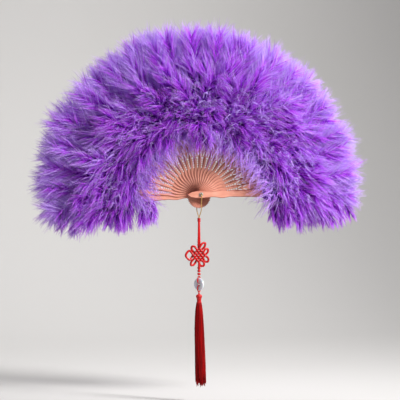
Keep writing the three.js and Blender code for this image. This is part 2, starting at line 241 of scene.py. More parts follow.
# A round cord along a path. Lobes are its strands, and lay the length in which they turn once
def tube(path, width, sides=12, lobes=0, groove=0.0, lay=1.0, closed=False):
    path = np.asarray(path, float)
    steps = np.roll(path, -1, axis=0) - np.roll(path, 1, axis=0) if closed else np.gradient(path, axis=0)
    tangents = unit(steps)
    along = np.concatenate([[0], np.cumsum(np.linalg.norm(np.diff(path, axis=0), axis=1))])
    askew = (0.31, 0.22, 0.93)  # a direction that no cord starts in
    across = unit(np.cross(tangents[0], askew))
    turns = fullTurn(sides)
    points = []
    for spot, tangent, reach in zip(path, tangents, along):
        across = unit(across - tangent * (across @ tangent))
        other = np.cross(tangent, across)
        wave = 1 - groove * (0.5 - 0.5 * np.cos(lobes * (turns - reach / lay * 2 * math.pi)))
        radius = (width / 2 * wave)[:, None]
        points.append(spot + radius * (np.cos(turns)[:, None] * across + np.sin(turns)[:, None] * other))
    points = np.concatenate(points)
    quads = ringQuads(len(path), sides, closed)
    if closed:
        return points, [quads]
    at = np.arange(sides)
    last = (len(path) - 1) * sides
    caps = [np.stack([np.full(sides, len(points)), (at + 1) % sides, at], 1),
            np.stack([np.full(sides, len(points) + 1), last + at, last + (at + 1) % sides], 1)]
    return np.concatenate([points, path[[0, -1]]]), [quads, *caps]


# A profile of radius and height turned about Z. Lobes are folds down its side
def lathe(profile, segments, lobes=0, groove=0.0):
    profile = np.asarray(profile, float)
    turns = fullTurn(segments)
    wave = 1 - groove * (0.5 - 0.5 * np.cos(lobes * turns))
    radius, height = profile[:, 0], profile[:, 1]
    points = np.stack([np.outer(radius, wave * np.cos(turns)), np.outer(radius, wave * np.sin(turns)),
                       np.repeat(height[:, None], segments, 1)], -1).reshape(-1, 3)
    return points, [ringQuads(len(profile), segments)]


# Materials

# Lacquered wood: thin sliced sticks dyed peach, fine straight grain under a satin lacquer, and a darker line
# along the cut edge: painted shade, standing in for the shadow lines between the overlapping sticks.
# The edge is the stick's outline, along it and across it
def lacqueredWood(edge):
    material, tree = newMaterial("dyed lacquered wood")
    grainWidth, grainLength, patchSize, edgeShadeWidth = 0.7 * mm, 22 * mm, 14 * mm, 1.1 * mm
    edge = np.array(edge)
    start, end, widest = edge[0, 0] * mm, edge[-1, 0] * mm, edge[:, 1].max() * mm
    spot = addNode(tree, "TexCoord").outputs["Object"]
    place = addNode(tree, "SeparateXYZ", links={"Vector": spot})
    along = addNode(tree, "MapRange", {"From Min": start, "From Max": end}, {"Value": place.outputs["X"]})
    outline = addNode(tree, "FloatCurve", links={"Value": along})
    points = outline.mapping.curves[0].points
    for at, halfWidth in edge[1:-1]:
        points.new((at * mm - start) / (end - start), halfWidth * mm / widest)
    points[0].location = (0, 0)
    points[-1].location = (1, edge[-1, 1] * mm / widest)
    outline.mapping.update()
    half = addNode(tree, "Math", {"operation": "MULTIPLY", 1: widest}, {0: outline})
    across = addNode(tree, "Math", {"operation": "ABSOLUTE"}, {0: place.outputs["Z"]})
    inside = addNode(tree, "Math", {"operation": "SUBTRACT"}, {0: half, 1: across})
    clearOfEdgeShade = addNode(tree, "MapRange", {"From Min": 0.2 * edgeShadeWidth, "From Max": edgeShadeWidth}, {"Value": inside})
    stretch = addNode(tree, "Mapping",
                      {"Scale": (1 / grainLength, 1 / grainWidth, 1 / grainWidth)}, {"Vector": spot})
    grain = addNode(tree, "TexNoise", {"Scale": 1.0, "Detail": 3.0}, {"Vector": stretch})
    patches = addNode(tree, "TexNoise", {"Scale": 1 / patchSize, "Detail": 1.0}, {"Vector": spot})
    both = addNode(tree, "Mix", {0: 0.4}, {2: grain, 3: patches})
    ramp = addNode(tree, "ValToRGB", links={"Fac": both})
    colour = rampColours(ramp, [(0.3, "#d0836c"), (0.5, "#e2977f"), (0.7, "#eeab94")])
    # painted shade: the colour darkens to a brown red in a narrow line along the cut edge
    dyed = addNode(tree, "Mix", {"data_type": "RGBA", 6: linear("#a4553f")}, {0: clearOfEdgeShade, 7: colour})
    relief = addNode(tree, "Bump", {"Strength": 0.15, "Distance": 0.05 * mm}, {"Height": grain})
    shader = addNode(tree, "BsdfPrincipled", {"Roughness": 0.45, "IOR": 1.5, "Coat Weight": 0.12},
                     {"Base Color": dyed.outputs[2], "Normal": relief})
    addNode(tree, "OutputMaterial", links={"Surface": shader})
    return material


# Marabou: soft dyed down that light passes through, violet at the roots and pale lavender at the thin tips.
# The shade it reads is partly painted: darker roots and darker rows near the stick are painted shade deep
# among the barbs, and a share of paler clumps is a painted sheen
def dyedMarabou():
    material, tree = newMaterial("dyed marabou down")
    shade = addNode(tree, "Attribute", {"attribute_name": "shade"})
    ramp = addNode(tree, "ValToRGB", links={"Fac": shade.outputs["Fac"]})
    colour = rampColours(ramp, [(0.0, "#34006e"), (0.3, "#981cd4"), (0.6, "#d65efa"), (0.85, "#d69efb"),
                                (1.0, "#d8b8fa")])
    surface = addNode(tree, "BsdfPrincipled",
                      {"Roughness": 0.7, "Specular IOR Level": 0.2, "Sheen Weight": 0.08,
                       "Sheen Roughness": 0.5}, {"Base Color": colour})
    through = addNode(tree, "BsdfTranslucent", links={"Color": colour})
    mix = addNode(tree, "MixShader", {"Fac": 0.28}, {1: surface, 2: through})
    addNode(tree, "OutputMaterial", links={"Surface": mix})
    return material


# A finish for pieces whose main detail is in the mesh: two tones and a relief at the grain of the material.
# Stretch is how much longer the grain is than wide, down the piece
def grainedFinish(name, dark, light, grain, relief, settings, stretch=1):
    material, tree = newMaterial(name)
    spot = addNode(tree, "TexCoord").outputs["Object"]
    drawn = addNode(tree, "Mapping", {"Scale": (1, 1, 1 / stretch)}, {"Vector": spot})
    noise = addNode(tree, "TexNoise", {"Scale": 1 / grain, "Detail": 2.0}, {"Vector": drawn})
    ramp = addNode(tree, "ValToRGB", links={"Fac": noise})
    colour = rampColours(ramp, [(0.3, dark), (0.7, light)])
    bump = addNode(tree, "Bump", {"Strength": relief, "Distance": 0.1 * mm}, {"Height": noise})
    shader = addNode(tree, "BsdfPrincipled", settings, {"Base Color": colour, "Normal": bump})
    addNode(tree, "OutputMaterial", links={"Surface": shader})
    return material


marabou = dyedMarabou()
# Plated steel, turned and pressed: bright with a soft haze
nickel = grainedFinish("nickel plated steel", "#a5a4a2", "#c4c3c0", 0.8 * mm, 0.1,
                       {"Metallic": 1.0, "Roughness": 0.28})
# Metal foil spun round a yarn: a dull glint that breaks from thread to thread
goldThread = grainedFinish("gold metallic thread", "#a8782c", "#ecc47a", 0.5 * mm, 0.3,
                           {"Metallic": 0.4, "Roughness": 0.36})
# Satin weave round a soft core: smooth red with a broad soft gloss
redCord = grainedFinish("red satin cord", "#b80c0e", "#dc1a18", 0.6 * mm, 0.25,
                        {"Roughness": 0.38, "Specular IOR Level": 0.4})
# Loose rayon threads: deep red, with light and dark long streaks down them: painted sheen and shade
# where hanks of them turn
redSilk = grainedFinish("red tassel silk", "#640002", "#c40408", 2.2 * mm, 0.0,
                        {"Roughness": 0.5, "Specular IOR Level": 0.15}, 40)
# Polished pale stone: cloudy and cool, with a clear gloss
jade = grainedFinish("pale jade", "#dde2f0", "#f6f8fd", 5 * mm, 0.0,
                     {"Roughness": 0.16, "IOR": 1.61, "Coat Weight": 0.3, "Subsurface Weight": 0.15,
                      "Subsurface Scale": 2 * mm})
# The packed down under the barbs: deep violet and matt, the dense down by the quills drawn as one mass,
# dark as painted shade in the gaps between the barbs
underdownInShade = grainedFinish("packed marabou down in painted shade", "#2c0858", "#5c1c9c", 4 * mm, 0.6,
                          {"Roughness": 0.95, "Specular IOR Level": 0.1})
# Narrow woven satin, hidden among the plumes
violetSatin = grainedFinish("violet satin ribbon", "#4c1f94", "#5f2cb0", 0.4 * mm, 0.2,
                            {"Roughness": 0.4, "Sheen Weight": 0.2})
print("materials made:", len(bpy.data.materials))


# Where each stick stands: its turn from the front guard comes from its joint, its layer from its node

frontAngle = 1.6
stickTurns = {"front_guard": 0.0}
for joint in frame["joints"]:
    if joint["parent"] == "front_guard" and joint["child"] != "hanging_loop":
        stickTurns[joint["child"]] = joint["range_deg"][1]
stickOrder = sorted(stickTurns, key=stickTurns.get)
plumeNames = {"front_guard": "plume_front", "rear_guard": "plume_rear"}
for stick in stickOrder[1:-1]:
    plumeNames[stick] = stick.replace("stick", "plume")


def layerOf(stick):
    low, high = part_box(stick)
    return (low.y + high.y) / 2


def turnOf(stick):
    return math.radians(frontAngle + stickTurns[stick])


# Cords of the pendant, on the routes of their solids

loop = {
    "width": 1.5,
    "strands": 2,
    "groove": 0.25,
    "lay": 4.2,
    # depth and height, from the rivet's bore over its end and down to the wrap
    "half": [(8, -0.35), (14, -0.35), (17.8, -0.35), (19.5, -1), (20.1, -2.7), (19.8, -5), (18.7, -8.5),
             (17.7, -13), (17.3, -18), (16.8, -22.2), (14.4, -25.4), (10.8, -28.2), (6.8, -30.6),
             (3.2, -32.6), (1.3, -33.9), (0.9, -35.1)],
}
# the two cords of the stem lie behind each other at the top and side by side at the knot
stem = {
    "width": 2.5,
    "topSpread": 0.6,
    "topDepth": 1.1,
    "spread": 1.3,
    "points": 16,
    "top": 38,
    "bottom": 77.5,
}


def addLoop():
    rear = [(0, depth, height) for depth, height in loop["half"]]
    front = [(0, -depth, height) for depth, height in reversed(loop["half"])]
    crown = (0, 0, loop["half"][0][1])
    path = smoothPath([*front, crown, *rear], 8) * mm
    thread = tube(path, loop["width"] * mm, 12, loop["strands"], loop["groove"], loop["lay"] * mm)
    piece = addShape("gold_loop_thread", thread, goldThread, "hanging_loop", "gold_cord", ["gold_loop"])


def addStem(side):
    down = np.linspace(0, 1, stem["points"])
    spread = stem["topSpread"] + (stem["spread"] - stem["topSpread"]) * down
    depth = stem["topDepth"] * np.cos(down * math.pi / 2)
    heights = stem["top"] + (stem["bottom"] - stem["top"]) * down
    path = np.stack([side * spread, side * depth, -heights], 1) * mm
    name = "red_stem_left" if side < 0 else "red_stem_right"
    cord = tube(path, stem["width"] * mm, 16)
    piece = addShape(name, cord, redCord, "knot", "red_cord", ["red_knot_cord"])


# The flat knot is one cord, woven over and under on a square grid that stands on its corner
knot = {
    "width": 3.3,
    "top": 75,
    "middle": 91,
    "strands": 4,
    "pitch": 4.2,
    "lift": 1.7,
    "drop": 1.2,
    "corner": 8,
    "cornerRise": 0.4,
    "downEars": (9, 9, 8),
    "backEars": (11, 11, 8.5),
    # an ear's shoulders: their share of its length, how far apart, and how they sink under the next strand
    "earShoulder": 0.7,
    "earSpread": 0.66,
    "earSink": 0.6,
    "end": 114.5,
}


def knotRoute():
    strands, pitch = knot["strands"], knot["pitch"]
    half = (strands - 1) * pitch / 2

    def line(index):
        return index * pitch - half

    def lift(along, across):
        return -knot["lift"] if (along + across) % 2 else knot["lift"]

    def point(along, across, height):
        fall = knot["drop"] * (along + across) / math.sqrt(2)
        return (along - across) / math.sqrt(2), height, -knot["middle"] - fall

    down, back = [], []
    for strand in range(strands):
        forward = strand % 2 == 0
        for step in range(strands) if forward else reversed(range(strands)):
            opposite = strands - 1 - step
            down.append(point(line(step), line(strand), lift(step, strand)))
            back.append(point(line(strand), line(opposite), -lift(strand, opposite)))
        if strand == strands - 1:
            continue
        end, way = (strands - 1, 1) if forward else (0, -1)
        middle = line(strand) + pitch / 2
        for side in (-1, 0, 1):
            share = knot["earShoulder"] if side else 1
            beside = middle + side * pitch * knot["earSpread"]
            sink = -knot["earSink"] * side
            downOut = way * (half + knot["downEars"][strand] * share)
            backOut = way * (half + knot["backEars"][strand] * share)
            down.append(point(downOut, beside, sink * lift(end, strand)))
            back.append(point(beside, -backOut, -sink * lift(strand, strands - 1 - end)))
    out = half + knot["corner"]
    rise = knot["cornerRise"] * knot["lift"]
    corner = [point(-out, half, rise), point(-out, out, 0), point(-half, out, -rise)]
    return [(0, 0, -knot["top"]), *down, *corner, *back, (0, 0, -knot["end"])]


wrap = {"at": 38, "cord": 1.2, "coil": 3.8, "pitch": 1.15, "turns": 4.5}
buttons = {"spots": (110, 114.5, 119.2), "cord": 1.9, "loop": 3.2, "tilt": 38, "loops": 3}


def addWrap():
    turns = np.linspace(0, wrap["turns"] * 2 * math.pi, 90)
    rise = wrap["pitch"] * (turns / (2 * math.pi) - wrap["turns"] / 2)
    radius = wrap["coil"] / 2
    coil = np.stack([radius * np.cos(turns), radius * np.sin(turns), -wrap["at"] + rise], 1)
    cord = tube(coil * mm, wrap["cord"] * mm, 10)
    return addShape("wrap_knot", cord, redCord, "knot", "red_cord", ["red_knot_cord"])


def addWovenKnot():
    cord = tube(smoothPath(knotRoute(), 7) * mm, knot["width"] * mm, 12)
    return addShape("woven_knot", cord, redCord, "knot", "red_cord", ["red_knot_cord"])


# Small ball knots: loops of cord that lean three ways
def addButtons():
    shapes = []
    turns = fullTurn(28)
    circle = np.stack([np.cos(turns), np.sin(turns), 0 * turns], 1) * buttons["loop"] / 2 * mm
    loopShape = tube(circle, buttons["cord"] * mm, 10, closed=True)
    lean = Matrix.Rotation(math.radians(buttons["tilt"]), 4, "X")
    for spot in buttons["spots"]:
        for number in range(buttons["loops"]):
            around = Matrix.Rotation(2 * math.pi * number / buttons["loops"], 4, "Z")
            shapes.append(moved(loopShape, Matrix.Translation((0, 0, -spot * mm)) @ around @ lean))
    return addShape("button_knots", joined(shapes), redCord, "knot", "red_cord", ["red_knot_cord"])


addLoop()
knotPieces = [addWrap(), addWovenKnot(), addButtons()]
addStem(-1)
addStem(1)
print("pendant cords laid")

# Stone ring, with a cord loop above and below

ring = {
    "at": 134.5,
    "width": 19.2,
    "bore": 5.2,
    "thickness": 4,
    "turn": -53,
    "cord": 1.9,
    "strands": 3,
    "groove": 0.16,
    "lay": 4,
    "fit": 0.3,
    # how far each way a cord bends round the stone, in degrees
    "round": 140,
    "upper": 12.4,
    "lower": -12.1,
}
ringMiddle = (ring["width"] + ring["bore"]) / 4
ringWall = (ring["width"] - ring["bore"]) / 4
ringPlace = Matrix.Translation((0, 0, -ring["at"] * mm)) @ Matrix.Rotation(math.radians(ring["turn"]), 4, "Z")
faceForward = Matrix.Rotation(math.radians(-90), 4, "X")  # stands a lathe's axis along Y


def addRing():
    turns = np.linspace(0, 2 * math.pi, 29)
    profile = np.stack([ringMiddle + ringWall * np.cos(turns), ring["thickness"] / 2 * np.sin(turns)], 1)
    shape = moved(lathe(profile * mm, 72), ringPlace @ faceForward)
    addShape("jade_ring_polished", shape, jade, "ring", "jade", ["jade_ring"])


def addRingCord(name, end):
    up = math.copysign(1, end)
    clear = ring["cord"] / 2 + 1.5 * ring["fit"]
    turns = np.radians(np.linspace(-ring["round"], ring["round"], 9))
    bends = [(0, (ring["thickness"] / 2 + clear) * math.sin(turn),
              up * (ringMiddle - (ringWall + clear) * math.cos(turn))) for turn in turns]
    depth = (ring["cord"] + ring["fit"]) / 2
    leads = [[(0, side * depth, end), (0, side * depth * 1.3, end - up * 1.2)] for side in (-1, 1)]
    path = smoothPath([*leads[0], *bends, *reversed(leads[1])], 8) * mm
    twist = tube(path, ring["cord"] * mm, 12, ring["strands"], ring["groove"], ring["lay"] * mm)
    addShape(name + "_twist", moved(twist, ringPlace), redCord, "ring", "red_cord", [name])


addRing()
addRingCord("ring_cord_upper", ring["upper"])
addRingCord("ring_cord_lower", ring["lower"])

# Tassel

tassel = {
    "seed": 5,
    "at": 148.2,
    "bead": 2.6,
    "knob": 9.4,
    "knobHeight": 6,
    "neck": 6.8,
    "neckHeight": 7,
    "length": 118,
    "topWidth": 8,
    "width": 16.4,
    "threads": 300,
    "thread": 0.8,
    "band": 0.9,
    # share of the widening that comes just under the neck
    "flare": 0.62,
    "ragged": 7,
    "sway": 0.5,
    "drift": 3,
}


def addTasselHead():
    bead, knob, neck = tassel["bead"] / 2, tassel["knob"] / 2, tassel["neck"] / 2
    neckTop = bead + tassel["knobHeight"]
    skirtTop = neckTop + tassel["neckHeight"]
    knobProfile = smoothPath([
        (neck * 0.9, -neckTop - 0.3), (knob * 0.84, -neckTop + 0.7), (knob, -neckTop + 2.6),
        (knob * 0.86, -bead - 1.2), (bead * 0.8, -bead * 0.5), (bead, 0.1), (bead * 0.6, bead * 0.8),
        (0.01, bead)], 5)
    neckProfile = smoothPath([
        (0.01, -skirtTop - 0.5), (neck * 0.98, -skirtTop - 0.5), (neck, -skirtTop + 1.2),
        (neck * 0.94, -skirtTop + 3.6), (neck, -neckTop), (neck * 0.5, -neckTop + 0.6)], 5)
    shapes = [lathe(knobProfile * mm, 60, 15, 0.07), lathe(neckProfile * mm, 72, 18, 0.09)]
    turns = fullTurn(48)
    for height, radius in ((-neckTop - 0.2, neck * 0.97), (-skirtTop + 0.9, neck), (-skirtTop + 0.1, neck)):
        band = np.stack([radius * np.cos(turns), radius * np.sin(turns), 0 * turns + height], 1) * mm
        shapes.append(tube(band, tassel["band"] * mm, 8, closed=True))
    shape = moved(joined(shapes), Matrix.Translation((0, 0, -tassel["at"] * mm)))
    addShape("tassel_head_bound", shape, redCord, "tassel", "red_cord", ["tassel_head"])
    return tassel["at"] + skirtTop


def addTasselSkirt(top):
    rng = np.random.default_rng(tassel["seed"])
    down = np.linspace(0, 1, 14) ** 1.4
    spread = tassel["flare"] * (1 - (1 - down) ** 9) + (1 - tassel["flare"]) * down
    width = tassel["topWidth"] + (tassel["width"] - tassel["topWidth"]) * spread
    shapes = []
    for _ in range(tassel["threads"]):
        turn = rng.uniform(0, 2 * math.pi)
        share = math.sqrt(rng.uniform(0.25, 1.0))
        radius = share * (width - tassel["thread"]) / 2
        length = tassel["length"] + rng.normal(0, tassel["ragged"] / 2)
        sway = rng.normal(0, tassel["sway"], 2)[:, None]
        sway = sway * np.sin(down * math.pi * rng.uniform(1, 2.5)) * down
        x = radius * np.cos(turn) + sway[0] + tassel["drift"] * down ** 2
        y = radius * np.sin(turn) + sway[1]
        path = np.stack([x, y, -top + 0.6 - down * length], 1) * mm
        shapes.append(tube(path, tassel["thread"] * mm, 5))
    addShape("tassel_threads", joined(shapes), redSilk, "tassel", "tassel_silk", ["tassel_skirt"])


addTasselSkirt(addTasselHead())
print("tassel made:", tassel["threads"], "threads")

# Rivet: a hollow eyelet with a rounded flange in front and a rolled lip over a washer behind

rivet = {"bore": 2.4, "barrel": 4, "flange": 0.9, "lip": 5.2, "lipThickness": 0.5, "washerHole": 4.6}


def addRivet():
    low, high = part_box("pivot_eyelet")
    washerLow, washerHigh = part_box("pivot_washer")
    front, rear, rim = low.y / mm, high.y / mm, high.x / mm
    seat = front + rivet["flange"]
    lipSeat = rear - rivet["lipThickness"]
    bore, barrel, lip = rivet["bore"] / 2, rivet["barrel"] / 2, rivet["lip"] / 2
    profile = [(bore, rear - 0.2), (bore, front + 0.45), (bore + 0.12, front + 0.15), (bore + 0.5, front),
               (rim - 0.9, front + 0.04), (rim - 0.3, front + 0.2), (rim, front + 0.55), (rim, seat),
               (barrel, seat), (barrel, lipSeat), (lip, lipSeat), (lip, rear - 0.15), (lip - 0.2, rear),
               (bore + 0.25, rear), (bore, rear - 0.2)]
    shape = moved(lathe(np.array(profile) * mm, 48), faceForward)
    addShape("eyelet_rolled", shape, nickel, "front_guard", "rivet_steel", ["pivot_eyelet"])
    hole, near, far = rivet["washerHole"] / 2, washerLow.y / mm, washerHigh.y / mm
    ringProfile = [(hole, near), (rim - 0.12, near), (rim, near + 0.15), (rim, far - 0.15), (rim - 0.12, far),
                   (hole, far), (hole, near)]
    shape = moved(lathe(np.array(ringProfile) * mm, 48), faceForward)
    addShape("washer_pressed", shape, nickel, "front_guard", "rivet_steel", ["pivot_washer"])


addRivet()

# Sticks: cut from thin board, the wide part pierced, the edges eased

stickCut = {
    "tail": 21,
    "head": 11,
    "neckAt": 19,
    "neck": 8.6,
    "bellyAt": 32,
    "belly": 11.8,
    "waistAt": 44,
    "waist": 9,
    "shoulderAt": 90,
    "shoulder": 12,
    "fall": 12,
    "rib": 5,
    "reach": 189,
    "pivotHole": 4.6,
    "beads": 4,
    "bead": 2.2,
    "hole": 3,
    "slitPairs": 2,
    "slit": 1.5,
    "slitOpen": 0.85,
    "rise": 5,
    "web": 1.1,
    "thickness": 0.8,
    "eased": 0.14,
    "guardThickness": 3.2,
    "guardEased": 0.8,
}


def stickEdge():
    cut = stickCut
    tail, head = cut["tail"], cut["head"]
    wave = [(-tail, 0), (-tail * 0.72, head * 0.33), (-tail * 0.3, head * 0.49), (tail * 0.15, head * 0.48),
            (cut["neckAt"], cut["neck"] / 2), (cut["bellyAt"], cut["belly"] / 2),
            (cut["waistAt"], cut["waist"] / 2)]
    return [*smoothPath(wave, 12, 0), (cut["shoulderAt"], cut["shoulder"] / 2)]


wood = lacqueredWood(stickEdge())


def mirrored(edge):
    upper = [(along, across) for along, across in reversed(edge) if across > 0]
    return [(along, -across) for along, across in edge] + upper


def roundHole(at, width, sides):
    return [(at + width / 2 * math.cos(turn), width / 2 * math.sin(turn)) for turn in fullTurn(sides)]


# A slit with round ends from one point to another
def slitHole(start, end, width):
    lean = math.atan2(end[1] - start[1], end[0] - start[0])
    points = []
    for (x, y), first in ((start, math.pi / 2), (end, -math.pi / 2)):
        for turn in np.linspace(first, first + math.pi, 7):
            points.append((x + width / 2 * math.cos(lean + turn), y + width / 2 * math.sin(lean + turn)))
    return points


def openwork():
    cut = stickCut
    holes = [roundHole(0, cut["pivotHole"], 32)]
    at = cut["waistAt"] - cut["bead"]
    for _ in range(cut["beads"]):
        holes.append(roundHole(at, cut["bead"], 14))
        at += cut["bead"] + cut["web"]
    at += (cut["hole"] - cut["bead"]) / 2
    holes.append(roundHole(at, cut["hole"], 22))
    at += cut["hole"] / 2 + cut["web"]
    widening = (cut["shoulder"] - cut["waist"]) / (cut["shoulderAt"] - cut["waistAt"])
    slit = cut["slit"]
    for _ in range(cut["slitPairs"]):
        outer = (cut["waist"] + widening * (at - cut["waistAt"])) / 2 - cut["web"]
        for side in (1, -1):
            start = (at + slit / 2, side * (cut["web"] / 2 + slit / 2))
            end = (at + cut["rise"] + slit / 2, side * (outer - slit / 2))
            holes.append(slitHole(start, end, slit * cut["slitOpen"]))
        at += slit + cut["rise"] + cut["web"]
    return holes


# A board cut to outlines, with eased edges, standing in X and Z
def cutBoard(name, outlines, thickness, eased, steps):
    data = bpy.data.curves.new(name, "CURVE")
    data.dimensions = "2D"
    data.fill_mode = "BOTH"
    data.extrude = (thickness / 2 - eased) * mm
    data.bevel_depth = eased * mm
    data.bevel_resolution = steps
    data.offset = -eased * mm
    for outline in outlines:
        spline = data.splines.new("POLY")
        spline.points.add(len(outline) - 1)
        spline.points.foreach_set("co", [value for x, y in outline for value in (x * mm, y * mm, 0, 1)])
        spline.use_cyclic_u = True
    draft = bpy.data.objects.new(name, data)
    scene.collection.objects.link(draft)
    mesh = bpy.data.meshes.new_from_object(draft.evaluated_get(bpy.context.evaluated_depsgraph_get()))
    bpy.data.objects.remove(draft)
    mesh.transform(Matrix.Rotation(math.radians(90), 4, "X"))
    mesh.name = name
    mesh.polygons.foreach_set("use_smooth", np.ones(len(mesh.polygons), bool))
    mesh.set_sharp_from_angle(angle=math.radians(40))
    mesh.materials.clear()
    mesh.materials.append(wood)
    return mesh


def addSticks():
    cut = stickCut
    edge = stickEdge()
    half = cut["rib"] / 2
    ribEdge = [(cut["shoulderAt"] + cut["fall"] * 0.6, (cut["shoulder"] + 3 * cut["rib"]) / 8),
               (cut["shoulderAt"] + cut["fall"], half), (cut["reach"] - half, half), (cut["reach"], 0)]
    pierced = [mirrored([*edge, *ribEdge]), *openwork()]
    board = cutBoard("pierced_stick", pierced, cut["thickness"], cut["eased"], 1)
    guardEdge = [*edge, (cut["reach"], cut["shoulder"] / 2)]
    guard = cutBoard("guard", [mirrored(guardEdge), roundHole(0, cut["pivotHole"], 32)],
                     cut["guardThickness"], cut["guardEased"], 4)
    for stick in stickOrder:
        mesh = guard if stick.endswith("guard") else board
        place = Matrix.Translation((0, layerOf(stick), 0)) @ Matrix.Rotation(-turnOf(stick), 4, "Y")
        addPiece(stick + "_cut", mesh, wood, stick, "stick_wood", [stick], place)


addSticks()
print("sticks cut:", len(stickOrder))

# The linking ribbon, in lengths that each stay on their stick and meet end to end when the fan is open

ribbon = {"at": 150, "width": 6, "thickness": 0.3, "seat": 0.45, "flat": 3.0}


def addRibbon():
    depths = []
    for stick in stickOrder:
        low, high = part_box(stick)
        depths.append(high.y / mm + ribbon["seat"] if stick == "front_guard" else low.y / mm - ribbon["seat"])
    seats = np.array([[turnOf(stick) for stick in stickOrder], depths]).T
    halfway = (seats[1:] + seats[:-1]) / 2
    flat = np.array([ribbon["flat"] / ribbon["at"], 0])
    for number, stick in enumerate(stickOrder):
        stations = [seats[number] - flat, seats[number] + flat]
        if number > 0:
            stations.insert(0, halfway[number - 1])
        if number < len(halfway):
            stations.append(halfway[number])
        stations = smoothPath(stations, 4)
        points = []
        for turn, depth in stations:
            for along, through in ((-1, -1), (1, -1), (1, 1), (-1, 1)):
                reach = ribbon["at"] + along * ribbon["width"] / 2
                points.append((reach * math.cos(turn), depth + through * ribbon["thickness"] / 2,
                               reach * math.sin(turn)))
        last = len(points) - 4
        ends = np.array([(3, 2, 1, 0), (last, last + 1, last + 2, last + 3)])
        mesh = newMesh(stick + "_ribbon", (np.array(points) * mm, [ringQuads(len(stations), 4), ends]))
        mesh.polygons.foreach_set("use_smooth", np.zeros(len(mesh.polygons), bool))
        addPiece(stick + "_ribbon", mesh, violetSatin, stick, "link_ribbon", ["link_ribbon"])


addRibbon()

# Feathers, in mm along the stick, through it and across it

plumes = {
    "seed": 11,
    "points": 5,
    # real barbs are hair fine: drawn as locks, as coarse as they need to be to show
    "barbWidth": 1.0,
    "tipShare": 0.2,
    "clump": 3,
    "depth": 60,
    # share of its depth meant for a plume in the folded fan
    "folded": 0.45,
    # the packed down: reach along the stick, half its thickness, and its share of the hang at a guard
    "mass": {"sides": 16, "hang": 9, "profile": [(94, 3, 0.1), (102, 12, 0.6), (114, 18, 1), (134, 15, 1),
                                                 (158, 17, 1), (174, 13, 0.8), (188, 6, 0.4), (198, 1, 0.1)]},
    # the down leaves the pierced wood bare, and more of it at the front guard
    "bare": {"all": 6, "front": 18, "sticks": 5, "from": 150, "over": 70},
    # the border stands a little taller on the upright sticks, and each stick's tuft ends its own way
    "crown": {"rise": 7, "ragged": 2.5, "from": 180, "over": 60},
    # each row's shade: the rows nearer the stick are darker, painted shade under the outer plumes, and the
    # outer row is paler at the rim, partly the thin tips' own paleness and partly painted light
    "rows": [
        {"count": 4, "root": (112, 120), "reach": (104, 116), "lift": (2, 10), "fan": 7.6, "stray": 2,
         "barb": 37, "barbs": 330, "open": (50, 32), "roll": 0.3, "comb": 0.3, "sag": 0.08, "sway": 0.08,
         "flow": 0.06, "shade": 0.28, "curl": 0.6, "loose": 1.6, "width": 0.8},
        {"count": 3, "root": (94, 106), "reach": (76, 96), "lift": (12, 26), "fan": 8, "stray": 9,
         "barb": 38, "barbs": 282, "open": (56, 30), "roll": 0.6, "comb": 0.8, "sag": 0.45, "sway": 0.12,
         "flow": 0.4, "shade": 0.0, "curl": 1.3, "loose": 1.0, "width": 0.9},
        {"count": 3, "root": (78, 92), "reach": (40, 64), "lift": (18, 42), "fan": 9, "stray": 14,
         "barb": 36, "barbs": 240, "open": (62, 40), "roll": 0.6, "comb": 0.7, "sag": 0.9, "sway": 0.18,
         "flow": 0.45, "shade": -0.16, "curl": 2.4, "loose": 1.0, "width": 0.9},
    ],
    "hanging": {"count": 14, "root": {"front_guard": (88, 210), "rear_guard": (56, 200)},
                "lean": {"front_guard": (88, 50), "rear_guard": (84, 34)},
                "reach": {"front_guard": (36, 54), "rear_guard": (28, 44)}, "lift": (8, 50), "stray": 8,
                "barb": 24, "barbs": 180, "open": (46, 24), "roll": 0.6, "comb": 0.6, "sag": 0.5,
                "sway": 0.15, "flow": 0.15, "shade": -0.04, "curl": 1.4, "loose": 1.0, "width": 0.9},
    "wisps": {"count": 120, "clump": 5, "root": (76, 104), "depth": (2, 14), "ahead": (-0.8, 0.5),
              "over": (-1, -0.1), "strand": (24, 54), "curl": 2.4, "turns": 0.8, "shade": 0.7},
    "curls": {"count": 60, "clump": 5, "root": (96, 172), "depth": (12, 27), "ahead": (0, 0.8),
              "over": (-0.7, 0.6), "strand": (18, 36), "curl": 2.2, "turns": 1.1, "shade": 0.85},
}
# How quills, barbs and strands differ from one another: pairs are ranges, the rest spreads and shares
quillWays = {"off": 1.5, "aside": 1.5, "flatten": (1, 0.4, 1), "sag": (0.6, 1.4), "wander": 0.08, "face": 0.2,
             "shade": 0.7}
barbWays = {
    "lowest": 0.02,
    "crowd": 0.75,
    "clumpOpen": 8,
    # within a clump, and more so in a loose row
    "shift": 0.007,
    "roll": 0.06,
    "open": 2.4,
    "sway": 0.04,
    # towards its tip a barb keeps some of its first direction, and falls
    "keep": 0.6,
    "fall": 1.3,
    # barbs are longest near the middle of the quill
    "shortest": 0.62,
    "rootFull": 0.1,
    "fullRun": 0.75,
    "clumpLength": (0.75, 1.1),
    "length": (0.85, 1.08),
    "waves": (0.5, 1.3),
    "curl": (0.2, 1.4),
    # a share of the clumps is painted paler: a painted sheen on bright strands
    "paleShare": 0.16,
    "pale": 0.28,
    "plumeTone": 0.1,
    "clumpTone": 0.12,
    "tone": 0.09,
    "tipShade": 0.74,
    "farShade": 0.2,
}
strandWays = {"aside": 5, "apart": 0.6, "out": (0.4, 1.0), "stray": 0.45, "lift": 0.05, "wander": 0.4,
              "within": 0.06, "fall": 0.5, "coil": ((1.0, 0, 0), (0, 0.5, 0.9)), "tone": 0.1,
              "tipShade": 0.35}


def bend(start, first, last, length, t):
    return start + length * (first * (t - t ** 2 / 2) + last * t ** 2 / 2)


# A spread between clumps of barbs, and a smaller one within them
def clumped(rng, clump, between, within, *width):
    apart = rng.normal(0, between, (clump[-1] + 1, *width))[clump]
    return apart + rng.normal(0, within, (len(clump), *width))


